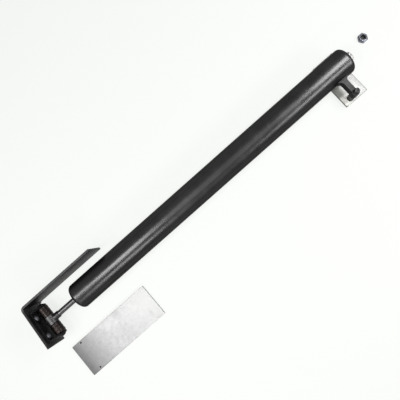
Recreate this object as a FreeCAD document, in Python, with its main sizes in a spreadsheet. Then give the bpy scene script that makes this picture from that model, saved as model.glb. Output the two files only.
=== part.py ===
import FreeCAD, Part
import math
import os
import Sketcher

# Pneumatic door closer laid on a flat surface: tube and rod, gate bracket, post bracket, loose plate and nut.
# Frame: X along the tube towards its closed end, Y towards the long leg of the gate bracket, Z up.
# Origin: where the axis of the pivot stud meets the mounting face of the post plate.

doc = FreeCAD.newDocument("door_closer")

# Driving dimensions in millimetres and degrees
driving = {
    # Tube
    "tube_diameter": 38.1,
    "tube_wall": 1.6,
    "tube_length": 497.9,
    "roll_radius": 5.5,
    "rear_overhang": 24.3,
    "arm_reach": 42.5,
    # Clearances
    "running_gap": 0.05,
    "seat_gap": 0.05,
    "side_gap": 0.1,
    "plate_room": 1.55,
    # Plugs in the two ends of the tube
    "end_plug_length": 18.0,
    "guide_length": 24.0,
    "seal_depth": 6.0,
    "seal_radius": 7.5,
    "ring_wire": 2.4,
    "groove_slack": 0.48,
    # Rod, piston and return spring
    "rod_diameter": 8.0,
    "rod_reach": 47.4,
    "piston_length": 18.0,
    "piston_stand_off": 20.0,
    "tail_diameter": 6.0,
    "tail_nut_across": 10.0,
    "tail_nut_length": 5.0,
    "tail_past_nut": 1.5,
    "cup_length": 5.0,
    "cup_depth": 3.0,
    "cup_lip": 1.2,
    "seat_washer_radius": 15.0,
    "seat_washer_length": 2.0,
    "seat_clearance": 1.0,
    "spring_wire": 2.6,
    "spring_radius": 12.0,
    "spring_turns": 24.0,
    # Speed screw
    "screw_diameter": 5.0,
    "screw_head_diameter": 13.0,
    "screw_head_length": 6.2,
    "screw_slot_width": 1.6,
    "screw_slot_depth": 1.8,
    "screw_needle": 6.0,
    "washer_length": 1.0,
    # Pivot arm and its stud on the post plate
    "arm_width": 7.3,
    "arm_height": 12.6,
    "flare_radius": 5.0,
    "flare_sink": 3.0,
    "eye_diameter": 10.4,
    "eye_height": 13.4,
    "stud_diameter": 8.0,
    "stud_past_eye": 6.8,
    "spacer_wall": 0.5,
    "edge_bevel": 0.8,
    "plate_thickness": 4.8,
    "post_plate_left": 11.3,
    "post_plate_right": 25.5,
    "post_plate_front": 6.9,
    "post_plate_back": 65.7,
    "plate_corner": 1.0,
    # Rod eye and pivot bolt
    "rod_eye_diameter": 16.0,
    "rod_eye_width": 12.6,
    "rod_neck_diameter": 10.0,
    "rod_neck_length": 6.0,
    "bolt_diameter": 6.0,
    "bolt_head_diameter": 12.0,
    "bolt_head": 2.6,
    "cap_height": 3.0,
    "cap_depth": 1.9,
    "bush_diameter": 15.8,
    "bush_length": 15.8,
    # Gate bracket and clevis
    "bracket_width": 50.8,
    "bracket_thickness": 3.2,
    "bracket_long_leg": 123.0,
    "bracket_short_leg": 66.4,
    "bracket_bend": 6.0,
    "bracket_lean": 3.7,
    "bracket_head_room": 6.3,
    "clevis_stand_off": 9.5,
    "clevis_sheet": 2.5,
    "clevis_margin": 6.0,
    "cheek_reach": 6.2,
    "cheek_tip": 13.0,
    "cheek_root": 4.0,
    "rivet_diameter": 5.0,
    "rivet_head_diameter": 8.6,
    "rivet_head_height": 2.6,
    "rivet_spacing": 29.0,
    "rivet_rise": 12.5,
    # Loose weld plate and lock nut
    "weld_plate_length": 135.0,
    "weld_plate_width": 50.8,
    "weld_plate_thickness": 3.2,
    "weld_plate_x": -466.1,
    "weld_plate_y": -29.9,
    "hang_hole_diameter": 2.6,
    "hang_hole_inset": 14.5,
    "hang_hole_margin": 3.2,
    "lock_nut_across": 12.7,
    "lock_nut_hex": 4.0,
    "lock_nut_collar": 1.8,
    "lock_nut_x": 72.4,
    "lock_nut_y": 52.6,
    "insert_length": 1.2,
    "insert_wall": 0.6,
    "crown_taper": 0.4,
}

sheet = doc.addObject("Spreadsheet::Sheet", "Sizes")
for row, (alias, number) in enumerate(driving.items(), start=1):
    sheet.set("A%d" % row, alias)
    sheet.set("B%d" % row, str(number))
    sheet.setAlias("B%d" % row, alias)
doc.recompute()


class Dim:
    """A length with its value and the expression that ties it to the sheet."""

    def __init__(self, text, value):
        self.text = text
        self.value = value

    def join(self, sign, other, value):
        return Dim("(%s %s %s)" % (self.text, sign, other.text), value)

    def __add__(self, other):
        other = dim(other)
        return self.join("+", other, self.value + other.value)

    def __radd__(self, other):
        return dim(other) + self

    def __sub__(self, other):
        other = dim(other)
        return self.join("-", other, self.value - other.value)

    def __rsub__(self, other):
        return dim(other) - self

    def __mul__(self, other):
        other = dim(other)
        return self.join("*", other, self.value * other.value)

    def __rmul__(self, other):
        return dim(other) * self

    def __truediv__(self, other):
        other = dim(other)
        return self.join("/", other, self.value / other.value)

    def __neg__(self):
        return dim(0) - self

    def tangent(self):
        return Dim("tan(%s * 1 deg)" % self.text, math.tan(math.radians(self.value)))

    def cosine(self):
        return Dim("cos(%s * 1 deg)" % self.text, math.cos(math.radians(self.value)))

    def sine(self):
        return Dim("sin(%s * 1 deg)" % self.text, math.sin(math.radians(self.value)))


def dim(number):
    return number if isinstance(number, Dim) else Dim(repr(float(number)), float(number))


def size(alias):
    return Dim("Sizes." + alias, float(sheet.get(alias)))


# Which way a turned piece or a prism points
along_x = FreeCAD.Rotation()
along_y = FreeCAD.Rotation(FreeCAD.Vector(0, 0, 1), 90)
along_z = FreeCAD.Rotation(FreeCAD.Vector(0, 1, 0), -90)
prism_x = FreeCAD.Rotation(FreeCAD.Vector(0, 1, 0), 90)
prism_y = FreeCAD.Rotation(FreeCAD.Vector(1, 0, 0), -90)
prism_z = FreeCAD.Rotation()
nodes = []


def bind(item, **sizes):
    for name, length in sizes.items():
        item.setExpression(name, dim(length).text)
        setattr(item, name, dim(length).value)


def place(item, rotation, base):
    item.Placement = FreeCAD.Placement(FreeCAD.Vector(*[dim(b).value for b in base]), rotation)
    for letter, length in zip("xyz", base):
        item.setExpression("Placement.Base." + letter, dim(length).text)


def node(item, label):
    item.Label = label
    nodes.append(item)
    return item


def fix_point(sketch, edge, end, corner):
    for kind, axis, length in (("DistanceX", -2, corner[0]), ("DistanceY", -1, corner[1])):
        length = dim(length)
        if length.text == "0.0":
            sketch.addConstraint(Sketcher.Constraint("PointOnObject", edge, end, axis))
        else:
            index = sketch.addConstraint(Sketcher.Constraint(kind, edge, end, length.value))
            sketch.setExpression("Constraints[%d]" % index, length.text)


def arc_through(start, end, radius, side):
    # Circle arc of a given radius between two points, with its bulge on the left or right of the way
    middle = (start + end) * 0.5
    way = end - start
    half = way.Length / 2
    left = FreeCAD.Vector(-way.y, way.x, 0).normalize()
    sagitta = radius - math.sqrt(max(radius * radius - half * half, 0))
    return Part.Arc(start, middle + left * side * sagitta, end)


def outline(body, plane, corners, bends=None, holes=()):
    # Closed sketch through corners; bends give the edges that are arcs, by index of their first corner
    bends = bends or {}
    sketch = body.newObject("Sketcher::SketchObject", body.Name + "_sketch")
    support = [item for item in body.Origin.OriginFeatures if item.Role == plane][0]
    sketch.AttachmentSupport = (support, "")
    sketch.MapMode = "FlatFace"
    spots = [FreeCAD.Vector(dim(x).value, dim(y).value, 0) for x, y in corners]
    ends = []
    for index, start in enumerate(spots):
        end = spots[(index + 1) % len(spots)]
        if index in bends:
            radius, side = bends[index]
            edge = sketch.addGeometry(arc_through(start, end, radius.value, side))
            first = 1 if sketch.getPoint(edge, 1).distanceToPoint(start) < 1e-6 else 2
            constraint = sketch.addConstraint(Sketcher.Constraint("Radius", edge, radius.value))
            sketch.setExpression("Constraints[%d]" % constraint, radius.text)
        else:
            edge = sketch.addGeometry(Part.LineSegment(start, end))
            first = 1
        ends.append((edge, first, 3 - first))
    for index, (edge, first, last) in enumerate(ends):
        after, after_first, _ = ends[(index + 1) % len(ends)]
        sketch.addConstraint(Sketcher.Constraint("Coincident", edge, last, after, after_first))
    for (edge, first, _), corner in zip(ends, corners):
        fix_point(sketch, edge, first, corner)
    for x, y, radius in holes:
        middle = FreeCAD.Vector(dim(x).value, dim(y).value, 0)
        edge = sketch.addGeometry(Part.Circle(middle, FreeCAD.Vector(0, 0, 1), dim(radius).value))
        fix_point(sketch, edge, 3, (x, y))
        constraint = sketch.addConstraint(Sketcher.Constraint("Radius", edge, dim(radius).value))
        sketch.setExpression("Constraints[%d]" % constraint, dim(radius).text)
    return sketch


def turned(name, rotation, base, corners, bends=None):
    # Half profile of distance along the axis and radius, turned once round
    body = doc.addObject("PartDesign::Body", name)
    sketch = outline(body, "XY_Plane", corners, bends)
    turn = body.newObject("PartDesign::Revolution", name + "_turn")
    turn.Profile = sketch
    turn.ReferenceAxis = (sketch, ["H_Axis"])
    turn.Angle = 360
    place(body, rotation, base)
    return body


def ring(name, rotation, base, start, end, inner, outer):
    return turned(name, rotation, base, [(start, inner), (end, inner), (end, outer), (start, outer)])


def plate(name, base, height, corners, bends=None, holes=()):
    body = doc.addObject("PartDesign::Body", name)
    sketch = outline(body, "XY_Plane", corners, bends, holes)
    pad = body.newObject("PartDesign::Pad", name + "_pad")
    pad.Profile = sketch
    bind(pad, Length=height)
    place(body, FreeCAD.Rotation(), base)
    return body


def rounded(left, right, front, back, radius):
    # Corners and bends of a rectangle with round corners
    corners = [
        (left + radius, front), (right - radius, front), (right, front + radius), (right, back - radius),
        (right - radius, back), (left + radius, back), (left, back - radius), (left, front + radius),
    ]
    return corners, {index: (radius, -1) for index in (1, 3, 5, 7)}


def cylinder(name, rotation, base, radius, length):
    item = doc.addObject("Part::Cylinder", name)
    bind(item, Radius=radius, Height=length)
    place(item, rotation, base)
    return item


def hexagon(name, rotation, base, across, length):
    item = doc.addObject("Part::Prism", name)
    item.Polygon = 6
    bind(item, Circumradius=across / math.sqrt(3), Height=length)
    place(item, rotation, base)
    return item


def fuse(name, *items):
    joined = doc.addObject("Part::MultiFuse", name)
    joined.Shapes = list(items)
    return joined


def cut(name, base, *tools):
    result = doc.addObject("Part::Cut", name)
    result.Base = base
    result.Tool = tools[0] if len(tools) == 1 else fuse(name + "_tools", *tools)
    return result


def group(name, *items):
    # Several equal solids that share one node
    bundle = doc.addObject("Part::Compound", name)
    bundle.Links = list(items)
    return bundle


# Main lines of the assembly
running_gap = size("running_gap")
seat_gap = size("seat_gap")
side_gap = size("side_gap")
tube_radius = size("tube_diameter") / 2
bore_radius = tube_radius - size("tube_wall")
axis_y = size("arm_reach")
axis_z = size("plate_thickness") + size("plate_room") + tube_radius
axis = (0, axis_y, axis_z)
tube_rear = size("rear_overhang")
tube_front = tube_rear - size("tube_length")
pin_x = tube_front - size("rod_reach")

# Tube with both ends rolled over the plugs
roll = size("roll_radius")
lip_radius = tube_radius - roll
inner_roll = roll - size("tube_wall")
node(turned("tube_body", along_x, axis, [
    (tube_front + roll, bore_radius), (tube_rear - roll, bore_radius),
    (tube_rear - size("tube_wall"), lip_radius), (tube_rear, lip_radius),
    (tube_rear - roll, tube_radius), (tube_front + roll, tube_radius),
    (tube_front, lip_radius), (tube_front + size("tube_wall"), lip_radius),
], {1: (inner_roll, 1), 3: (roll, -1), 5: (roll, -1), 7: (inner_roll, 1)}), "cylinder_tube")

# Plugs with a ring groove each; the rear one carries the speed screw, the front one guides the rod
plug_radius = bore_radius - seat_gap
boss_radius = lip_radius - seat_gap
ring_wire = size("ring_wire")
groove_radius = plug_radius - ring_wire
groove_half = (ring_wire + size("groove_slack")) / 2
plug_face = tube_rear - roll
plug_back = plug_face - size("end_plug_length")
plug_groove = (plug_face + plug_back) / 2
screw_bore = size("screw_diameter") / 2 + running_gap
node(turned("end_plug_body", along_x, axis, [
    (plug_back, screw_bore), (tube_rear, screw_bore), (tube_rear, boss_radius), (plug_face, boss_radius),
    (plug_face, plug_radius), (plug_groove + groove_half, plug_radius),
    (plug_groove + groove_half, groove_radius), (plug_groove - groove_half, groove_radius),
    (plug_groove - groove_half, plug_radius), (plug_back, plug_radius),
]), "end_plug")

guide_face = tube_front + roll
guide_back = guide_face + size("guide_length")
guide_groove = (guide_face + guide_back) / 2
rod_radius = size("rod_diameter") / 2
rod_bore = rod_radius + running_gap
seal_seat = guide_back - size("seal_depth")
seal_pocket = size("seal_radius")
node(turned("guide_body", along_x, axis, [
    (tube_front, rod_bore), (seal_seat, rod_bore), (seal_seat, seal_pocket), (guide_back, seal_pocket),
    (guide_back, plug_radius), (guide_groove + groove_half, plug_radius),
    (guide_groove + groove_half, groove_radius), (guide_groove - groove_half, groove_radius),
    (guide_groove - groove_half, plug_radius), (guide_face, plug_radius),
    (guide_face, boss_radius), (tube_front, boss_radius),
]), "rod_guide")


def o_ring(name, place_x, outer):
    item = doc.addObject("Part::Torus", name)
    bind(item, Radius1=outer - ring_wire / 2, Radius2=ring_wire / 2 - seat_gap)
    place(item, prism_x, (place_x, axis_y, axis_z))
    return item


node(o_ring("plug_ring", plug_groove, plug_radius), "end_plug_o_ring")
node(o_ring("guide_ring", guide_groove, plug_radius), "rod_guide_o_ring")
seal_outer = seal_pocket - seat_gap
node(ring("rod_seal_body", along_x, axis, seal_seat, guide_back, rod_bore, seal_outer), "rod_seal")

# Spring seat on the guide, and the matching washer on the shoulder of the rod
seat_inner = rod_radius + size("seat_clearance")
seat_outer = size("seat_washer_radius")
seat_back = guide_back + size("seat_washer_length")
node(ring("seat_body", along_x, axis, guide_back, seat_back, seat_inner, seat_outer), "spring_seat")

# Rod with its shoulder and tail, piston, washer and nut
tail_radius = size("tail_diameter") / 2
rod_tail = plug_back - size("piston_stand_off") + size("tail_past_nut") + size("tail_nut_length")
nut_face = rod_tail - size("tail_past_nut") - size("tail_nut_length")
piston_back = nut_face - side_gap
piston_front = piston_back - size("piston_length")
shoulder = piston_front - side_gap - size("seat_washer_length")
neck_radius = size("rod_neck_diameter") / 2
rod_eye_radius = size("rod_eye_diameter") / 2
rod_start = pin_x + rod_eye_radius
bevel = size("edge_bevel")
node(turned("rod_body", along_x, axis, [
    (rod_start, 0), (rod_tail, 0), (rod_tail, tail_radius - bevel), (rod_tail - bevel, tail_radius),
    (shoulder, tail_radius), (shoulder, rod_radius), (rod_start, rod_radius),
]), "piston_rod")
tail_bore = tail_radius + running_gap
node(ring("rod_washer_body", along_x, axis, shoulder, shoulder + size("seat_washer_length"),
          tail_bore, seat_outer), "piston_washer")
piston_radius = bore_radius - running_gap
cup_middle = (piston_front + piston_back) / 2
cup_front = cup_middle - size("cup_length") / 2
cup_back = cup_middle + size("cup_length") / 2
cup_floor = piston_radius - size("cup_depth")
node(turned("piston_body", along_x, axis, [
    (piston_front, tail_bore), (piston_back, tail_bore),
    (piston_back, piston_radius - bevel), (piston_back - bevel, piston_radius),
    (cup_back, piston_radius), (cup_back, cup_floor), (cup_front, cup_floor), (cup_front, piston_radius),
    (piston_front + bevel, piston_radius), (piston_front, piston_radius - bevel),
]), "piston")
cup_lip = size("cup_lip")
cup_inner = cup_floor + seat_gap
node(turned("cup_body", along_x, axis, [
    (cup_front, cup_inner), (cup_back, cup_inner), (cup_back, cup_inner + cup_lip),
    (cup_front + cup_lip, cup_inner + cup_lip), (cup_back, piston_radius - cup_lip / 2),
    (cup_back, piston_radius), (cup_front, piston_radius),
]), "piston_cup")
tail_hex = hexagon("tail_hex", prism_x, (nut_face, axis_y, axis_z), size("tail_nut_across"),
                   size("tail_nut_length"))
tail_hole = cylinder("tail_hole", prism_x, (nut_face, axis_y, axis_z), tail_radius + seat_gap,
                     size("tail_nut_length"))
node(cut("tail_nut", tail_hex, tail_hole), "piston_nut")

# Return spring between the seat on the guide and the washer on the rod
wire_radius = size("spring_wire") / 2
coil_start = seat_back + wire_radius + side_gap
coil_length = shoulder - wire_radius - side_gap - coil_start
spring = doc.addObject("PartDesign::Body", "spring_body")
wire = spring.newObject("Sketcher::SketchObject", "wire_sketch")
wire.AttachmentSupport = ([f for f in spring.Origin.OriginFeatures if f.Role == "XZ_Plane"][0], "")
wire.MapMode = "FlatFace"
coil_radius = size("spring_radius")
circle = wire.addGeometry(Part.Circle(FreeCAD.Vector(coil_radius.value, 0, 0), FreeCAD.Vector(0, 0, 1),
                                      wire_radius.value))
fix_point(wire, circle, 3, (coil_radius, 0))
thickness = wire.addConstraint(Sketcher.Constraint("Radius", circle, wire_radius.value))
wire.setExpression("Constraints[%d]" % thickness, wire_radius.text)
coil = spring.newObject("PartDesign::AdditiveHelix", "spring_coil")
coil.Profile = wire
coil.ReferenceAxis = (wire, ["V_Axis"])
coil.Mode = "height-turns-angle"
bind(coil, Height=coil_length, Turns=size("spring_turns"))
place(spring, prism_x, (coil_start, axis_y, axis_z))
node(spring, "return_spring")

# Speed screw with a slotted round head outside, and the washer under the head
screw_radius = size("screw_diameter") / 2
head_base = tube_rear + size("washer_length")
head_end = head_base + size("screw_head_length")
head_radius = size("screw_head_diameter") / 2
needle_root = plug_back + size("screw_needle")
screw = turned("screw_blank", along_x, axis, [
    (plug_back, 0), (head_end, 0), (head_end, head_radius - bevel), (head_end - bevel, head_radius),
    (head_base, head_radius), (head_base, screw_radius), (needle_root, screw_radius),
    (plug_back, screw_radius / 2),
])
slot = doc.addObject("Part::Box", "screw_slot")
bind(slot, Length=size("screw_slot_depth"), Width=head_radius * 2, Height=size("screw_slot_width"))
place(slot, FreeCAD.Rotation(), (head_end - size("screw_slot_depth"), axis_y - head_radius,
                                 axis_z - size("screw_slot_width") / 2))
node(cut("screw_cut", screw, slot), "speed_screw")
node(ring("screw_washer_body", along_x, axis, tube_rear, head_base, screw_bore, head_radius), "screw_washer")

# Pivot arm: a flat bar on edge that flares where it meets the tube, with an eye for the stud
arm_half = size("arm_width") / 2
arm_height = size("arm_height")
flare = size("flare_radius")
eye_radius = size("eye_diameter") / 2
eye_height = size("eye_height")
stud_radius = size("stud_diameter") / 2
eye_base = axis_z - eye_height / 2
arm_root = axis_y - tube_radius
arm_waist = arm_root - flare
flare_root = arm_root + size("flare_sink")
flare_side = arm_half + flare
arm_bar = plate("arm_bar", (0, 0, axis_z - arm_height / 2), arm_height, [
    (-arm_half, 0), (arm_half, 0), (arm_half, arm_waist), (flare_side, arm_root),
    (flare_side, flare_root), (-flare_side, flare_root), (-flare_side, arm_root), (-arm_half, arm_waist),
], {2: (flare, 1), 6: (flare, 1)})
arm_eye = cylinder("arm_eye", prism_z, (0, 0, eye_base), eye_radius, eye_height)
arm_saddle = cylinder("arm_saddle", prism_x, (-axis_y, axis_y, axis_z), tube_radius + seat_gap, axis_y * 2)
arm_bore = cylinder("arm_bore", prism_z, (0, 0, eye_base - bevel), stud_radius + running_gap,
                    eye_height + bevel * 2)
node(cut("arm_cut", fuse("arm_blank", arm_bar, arm_eye), arm_saddle, arm_bore), "pivot_arm")

# Post plate with the stud welded on, and the sleeve that carries the eye
plate_top = size("plate_thickness")
post_corners, post_bends = rounded(-size("post_plate_left"), size("post_plate_right"),
                                   -size("post_plate_front"), size("post_plate_back"), size("plate_corner"))
node(plate("post_plate_body", (0, 0, 0), plate_top, post_corners, post_bends), "post_plate")
stud_top = eye_base + eye_height + size("stud_past_eye")
node(turned("stud_body", along_z, (0, 0, 0), [
    (plate_top, 0), (stud_top, 0), (stud_top, stud_radius - bevel), (stud_top - bevel, stud_radius),
    (plate_top, stud_radius),
]), "pivot_stud")
sleeve_inner = stud_radius + seat_gap
node(ring("sleeve_body", along_z, (0, 0, 0), plate_top, eye_base, sleeve_inner,
          sleeve_inner + size("spacer_wall")), "stud_sleeve")

# Rod eye on the pivot bolt
pin = (pin_x, axis_y, axis_z)
half_eye = size("rod_eye_width") / 2
bolt_radius = size("bolt_diameter") / 2
eye_ring = cylinder("eye_ring", prism_y, (pin_x, axis_y - half_eye, axis_z), rod_eye_radius, half_eye * 2)
neck = cylinder("eye_neck", prism_x, pin, neck_radius, rod_eye_radius + size("rod_neck_length"))
eye_bore = cylinder("eye_bore", prism_y, (pin_x, axis_y - half_eye, axis_z), bolt_radius + running_gap,
                    half_eye * 2)
rod_socket = cylinder("rod_socket", prism_x, (rod_start, axis_y, axis_z), rod_radius + seat_gap,
                      size("rod_neck_length"))
node(cut("eye_cut", fuse("eye_blank", eye_ring, neck), eye_bore, rod_socket), "rod_eye")

# Bushes on the bolt, one on each side of the rod eye
bush_start = half_eye + side_gap
bush_end = bush_start + size("bush_length")
bush_radius = size("bush_diameter") / 2
bush_bore = bolt_radius + seat_gap
upper_bush = ring("bush_upper", along_y, pin, bush_start, bush_end, bush_bore, bush_radius)
lower_bush = ring("bush_lower", along_y, pin, -bush_end, -bush_start, bush_bore, bush_radius)
node(group("bushes", upper_bush, lower_bush), "pivot_bushes")

# Gate bracket: a strip on its edge, bent a little past square
lean = size("bracket_lean")
sheet_gauge = size("bracket_thickness")
clevis_gauge = size("clevis_sheet")
cheek_outer = bush_end + clevis_gauge
leg_inner = axis_y + cheek_outer + size("bolt_head") + size("bracket_head_room")
leg_outer = leg_inner + sheet_gauge
base_face_x = pin_x - size("clevis_stand_off") - clevis_gauge / lean.cosine()


def leaning(face_x, y):
    return face_x + (y - axis_y) * lean.tangent()


strip_face_x = base_face_x - sheet_gauge / lean.cosine()
corner_x = leaning(strip_face_x, leg_outer)
long_end = corner_x + size("bracket_long_leg")
short_end_x = corner_x - size("bracket_short_leg") * lean.sine()
short_end_y = leg_outer - size("bracket_short_leg") * lean.cosine()
bend_outer = size("bracket_bend")
bend_inner = bend_outer - sheet_gauge
half_turn = ((90 - lean) / 2).tangent()
bend_back = bend_outer * half_turn
inner_back = bend_inner * half_turn
inside_x = leaning(base_face_x, leg_inner)
strip_low = axis_z - size("bracket_width") / 2
strip = plate("strip_body", (0, 0, strip_low), size("bracket_width"), [
    (corner_x + bend_back, leg_outer),
    (corner_x - bend_back * lean.sine(), leg_outer - bend_back * lean.cosine()),
    (short_end_x, short_end_y),
    (short_end_x + sheet_gauge * lean.cosine(), short_end_y - sheet_gauge * lean.sine()),
    (inside_x - inner_back * lean.sine(), leg_inner - inner_back * lean.cosine()),
    (inside_x + inner_back, leg_inner),
    (long_end, leg_inner),
    (long_end, leg_outer),
], {0: (bend_outer, -1), 4: (bend_inner, 1)})

# Rivets: across the leaning sheet, two above and two below the bolt
rivet_radius = size("rivet_diameter") / 2
rivet_head = size("rivet_head_diameter") / 2
rivet_dome = size("rivet_head_height")
rivet_length = sheet_gauge + clevis_gauge
dome_radius = (rivet_head * rivet_head + rivet_dome * rivet_dome) / (rivet_dome * 2)
lean_turn = FreeCAD.Rotation(FreeCAD.Vector(0, 0, 1), -lean.value)
rivets = []
strip_holes = []
for index, (across, up) in enumerate(((1, 1), (-1, 1), (-1, -1), (1, -1))):
    rivet_y = axis_y + size("rivet_spacing") / 2 * across
    rivet_z = axis_z + size("rivet_rise") * up
    rivet_base = (leaning(strip_face_x, rivet_y), rivet_y, rivet_z)
    rivet = turned("rivet_%d" % index, lean_turn, rivet_base, [
        (0, 0), (rivet_length + rivet_dome, 0), (rivet_length, rivet_head), (rivet_length, rivet_radius),
        (0, rivet_radius),
    ], {1: (dome_radius, -1)})
    rivet.setExpression("Placement.Rotation.Angle", (-lean).text + " * 1 deg")
    rivets.append(rivet)
    hole = turned("rivet_hole_%d" % index, lean_turn, rivet_base, [
        (-sheet_gauge, 0), (rivet_length + rivet_dome, 0),
        (rivet_length + rivet_dome, rivet_radius + seat_gap), (-sheet_gauge, rivet_radius + seat_gap),
    ])
    hole.setExpression("Placement.Rotation.Angle", (-lean).text + " * 1 deg")
    strip_holes.append(hole)
rivet_drill = fuse("rivet_drill", *strip_holes)
node(cut("strip_cut", strip, rivet_drill), "gate_bracket")
node(group("rivet_set", *rivets), "clevis_rivets")

# Clevis: a bent sheet whose base lies on the short leg and whose cheeks carry the bolt
base_inner_x = pin_x - size("clevis_stand_off")
cheek_tip_x = pin_x + size("cheek_reach")
clevis_height = size("bracket_width") - size("clevis_margin") * 2
clevis_low = axis_z - clevis_height / 2
cheek_high_y = axis_y + cheek_outer
cheek_low_y = axis_y - cheek_outer
clevis_blank = plate("clevis_blank", (0, 0, clevis_low), clevis_height, [
    (leaning(base_face_x, cheek_high_y), cheek_high_y), (leaning(base_face_x, cheek_low_y), cheek_low_y),
    (cheek_tip_x, cheek_low_y), (cheek_tip_x, cheek_low_y + clevis_gauge),
    (leaning(base_inner_x, cheek_low_y + clevis_gauge), cheek_low_y + clevis_gauge),
    (leaning(base_inner_x, cheek_high_y - clevis_gauge), cheek_high_y - clevis_gauge),
    (cheek_tip_x, cheek_high_y - clevis_gauge), (cheek_tip_x, cheek_high_y),
])
trim_length = cheek_outer * 2 + clevis_gauge
trims = []
for up in (1, -1):
    trim = doc.addObject("PartDesign::Body", "cheek_trim_high" if up > 0 else "cheek_trim_low")
    root_x = base_inner_x + size("cheek_root")
    top_z = clevis_height / 2 * up
    trim_sketch = outline(trim, "XZ_Plane", [
        (root_x, top_z), (cheek_tip_x, top_z), (cheek_tip_x, size("cheek_tip") / 2 * up),
    ])
    trim_pad = trim.newObject("PartDesign::Pad", trim.Name + "_pad")
    trim_pad.Profile = trim_sketch
    trim_pad.Midplane = True
    bind(trim_pad, Length=trim_length)
    place(trim, FreeCAD.Rotation(), (0, axis_y, axis_z))
    trims.append(trim)
cheek_bore = cylinder("cheek_bore", prism_y, (pin_x, cheek_low_y, axis_z), bolt_radius + seat_gap,
                      cheek_outer * 2)
node(cut("clevis_cut", clevis_blank, rivet_drill, cheek_bore, *trims), "clevis")

# Pivot bolt with a low round head, and the cap nut pressed on its other end
bolt_head = size("bolt_head")
bolt_head_radius = size("bolt_head_diameter") / 2
head_dome = (bolt_head_radius * bolt_head_radius + bolt_head * bolt_head) / (bolt_head * 2)
cap_height = size("cap_height")
cap_dome = (bolt_head_radius * bolt_head_radius + cap_height * cap_height) / (cap_height * 2)
cap_floor = cheek_outer + size("cap_depth")
bolt_end = cap_floor - side_gap
node(turned("bolt_body", along_y, pin, [
    (-bolt_end, 0), (cheek_outer + bolt_head, 0), (cheek_outer, bolt_head_radius), (cheek_outer, bolt_radius),
    (bevel - bolt_end, bolt_radius), (-bolt_end, bolt_radius - bevel),
], {1: (head_dome, -1)}), "pivot_bolt")
node(turned("cap_body", along_y, pin, [
    (-cheek_outer, bush_bore), (-cheek_outer, bolt_head_radius), (-(cheek_outer + cap_height), 0),
    (-cap_floor, 0), (-cap_floor, bush_bore),
], {1: (cap_dome, -1)}), "pivot_nut")

# Weld plate, loose, with two small holes that it hung from in the plating bath
half_length = size("weld_plate_length") / 2
half_width = size("weld_plate_width") / 2
hole_x = size("hang_hole_inset") - half_length
hole_y = half_width - size("hang_hole_margin")
hole_radius = size("hang_hole_diameter") / 2
weld_corners, weld_bends = rounded(-half_length, half_length, -half_width, half_width, size("plate_corner"))
node(plate("weld_plate_body", (size("weld_plate_x"), size("weld_plate_y"), 0), size("weld_plate_thickness"),
           weld_corners, weld_bends,
           [(hole_x, hole_y, hole_radius), (hole_x, -hole_y, hole_radius)]), "weld_plate")

# Lock nut for the stud, lying off: a hexagon with a rolled collar that holds a ring
lock_base = (size("lock_nut_x"), size("lock_nut_y"), 0)
lock_radius = size("lock_nut_across") / 2
hex_top = size("lock_nut_hex")
lock_top = hex_top + size("lock_nut_collar")
insert_base = lock_top - size("insert_length")
insert_outer = stud_radius + size("insert_wall")
crown_radius = lock_radius - bevel
crown_taper = size("crown_taper")
lock_hex = hexagon("lock_hex", prism_z, lock_base, size("lock_nut_across"), hex_top)
lock_collar = turned("lock_collar", along_z, lock_base, [
    (0, 0), (lock_top, 0), (lock_top, crown_radius - crown_taper), (lock_top - crown_taper, crown_radius),
    (0, crown_radius),
])
lock_hole = cylinder("lock_hole", prism_z, lock_base, stud_radius, lock_top)
insert_seat = cylinder("insert_seat", prism_z, (lock_base[0], lock_base[1], insert_base),
                       insert_outer + seat_gap, size("insert_length"))
node(cut("lock_cut", fuse("lock_blank", lock_hex, lock_collar), lock_hole, insert_seat), "stud_lock_nut")
node(ring("insert_body", along_z, lock_base, insert_base, lock_top, stud_radius, insert_outer),
     "lock_nut_insert")

# Build, test every object and write each piece
doc.recompute()
for item in doc.Objects:
    faults = [state for state in item.State if state in ("Invalid", "Error")]
    if faults:
        raise RuntimeError("%s is %s" % (item.Label, faults))
for item in nodes:
    if item.Shape.isNull() or not item.Shape.isValid() or item.Shape.Volume <= 0:
        raise RuntimeError("%s has no valid shape" % item.Label)

os.makedirs("parts", exist_ok=True)
for item in nodes:
    item.Shape.exportStep("parts/%s.step" % item.Label)
    print("%-18s %9.1f mm3 %d solid" % (item.Label, item.Shape.Volume, len(item.Shape.Solids)))
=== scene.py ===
import math

import bmesh
import bpy
from mathutils import Matrix, Vector


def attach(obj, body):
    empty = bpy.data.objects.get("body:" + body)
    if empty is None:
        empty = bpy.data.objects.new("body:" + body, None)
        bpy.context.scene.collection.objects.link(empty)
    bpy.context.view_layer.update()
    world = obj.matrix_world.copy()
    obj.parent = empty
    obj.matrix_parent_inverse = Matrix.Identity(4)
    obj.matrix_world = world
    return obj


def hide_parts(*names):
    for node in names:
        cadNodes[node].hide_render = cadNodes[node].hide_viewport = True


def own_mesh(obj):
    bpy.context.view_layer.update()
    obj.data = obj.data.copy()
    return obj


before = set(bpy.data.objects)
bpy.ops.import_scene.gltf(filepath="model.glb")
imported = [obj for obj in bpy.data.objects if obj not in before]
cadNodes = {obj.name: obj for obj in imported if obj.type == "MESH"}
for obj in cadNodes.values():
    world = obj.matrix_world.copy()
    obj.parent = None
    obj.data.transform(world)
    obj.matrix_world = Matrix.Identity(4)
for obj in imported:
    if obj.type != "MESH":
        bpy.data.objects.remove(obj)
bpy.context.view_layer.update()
mm = 0.001
print("frame loaded:", len(cadNodes), "nodes")


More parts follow.
